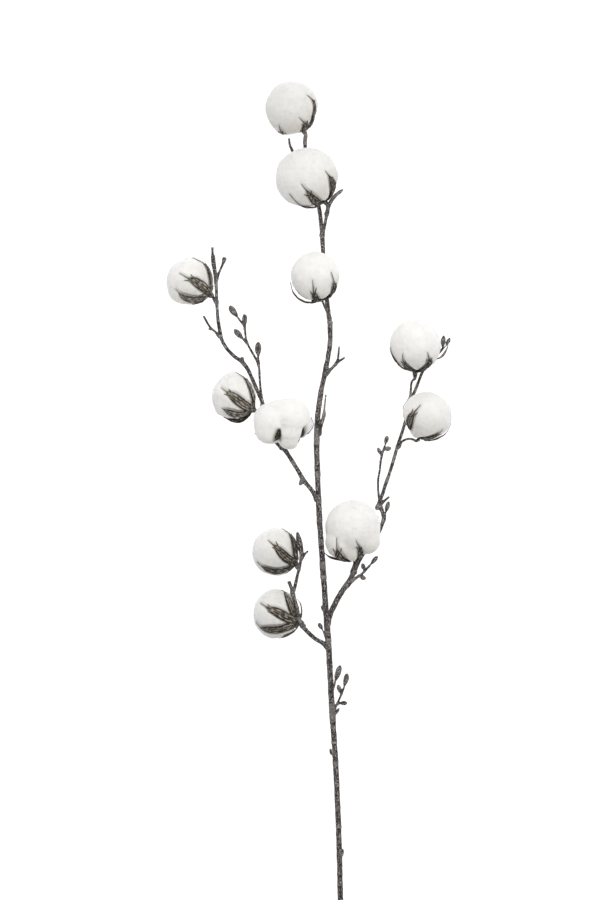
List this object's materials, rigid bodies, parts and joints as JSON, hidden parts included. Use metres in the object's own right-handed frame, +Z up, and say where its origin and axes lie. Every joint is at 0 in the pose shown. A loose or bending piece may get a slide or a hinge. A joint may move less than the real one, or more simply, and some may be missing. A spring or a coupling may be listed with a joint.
{
  "type": "cotton stem",
  "caption": "A dark branching twig, lying flat, that carries round white cotton bolls in brown burs, with small bud twigs and spurs",
  "frame": {"origin": "on the surface that the stem lies on, under the middle of its box", "axes": "+Z is up from that surface; +Y runs along the stem from its cut end to its tip; +X is to the right of a viewer who looks down with the tip away from them"},
  "size_m": [0.2835, 0.8255, 0.0793],
  "materials": {
    "bark": "matte dark grey-brown bark, mottled and rough, with pale frosty flecks",
    "bur": "dry, matte, brown, with darker veins and furrows",
    "cotton": "soft white cotton lint, fluffy and matte"
  },
  "bodies": {
    "root": {"main_stem_lower": "bark", "main_stem_upper": "bark", "left_lower_branch": "bark", "left_upper_branch": "bark", "right_branch": "bark", "left_bud_twig": "bark", "right_bud_twig": "bark", "centre_bud_twig": "bark", "bud_cluster": "bark", "tall_bud": "bark", "small_bud": "bark", "forked_spur": "bark", "thin_spur": "bark", "tip_shoot": "bark", "stalk_02": "bark", "stalk_03": "bark", "stalk_04": "bark", "stalk_05": "bark", "stalk_06": "bark", "stalk_07": "bark", "stalk_08": "bark", "stalk_09": "bark", "stalk_10": "bark", "stalk_11": "bark", "bur_01": "bur", "bur_02": "bur", "bur_03": "bur", "bur_04": "bur", "bur_05": "bur", "bur_06": "bur", "bur_07": "bur", "bur_08": "bur", "bur_09": "bur", "bur_10": "bur", "bur_11": "bur", "cotton_01": "cotton", "cotton_02": "cotton", "cotton_03": "cotton", "cotton_04": "cotton", "cotton_05": "cotton", "cotton_06": "cotton", "cotton_07": "cotton", "cotton_08": "cotton", "cotton_09": "cotton", "cotton_10": "cotton", "cotton_11": "cotton"}
  },
  "joints": []
}
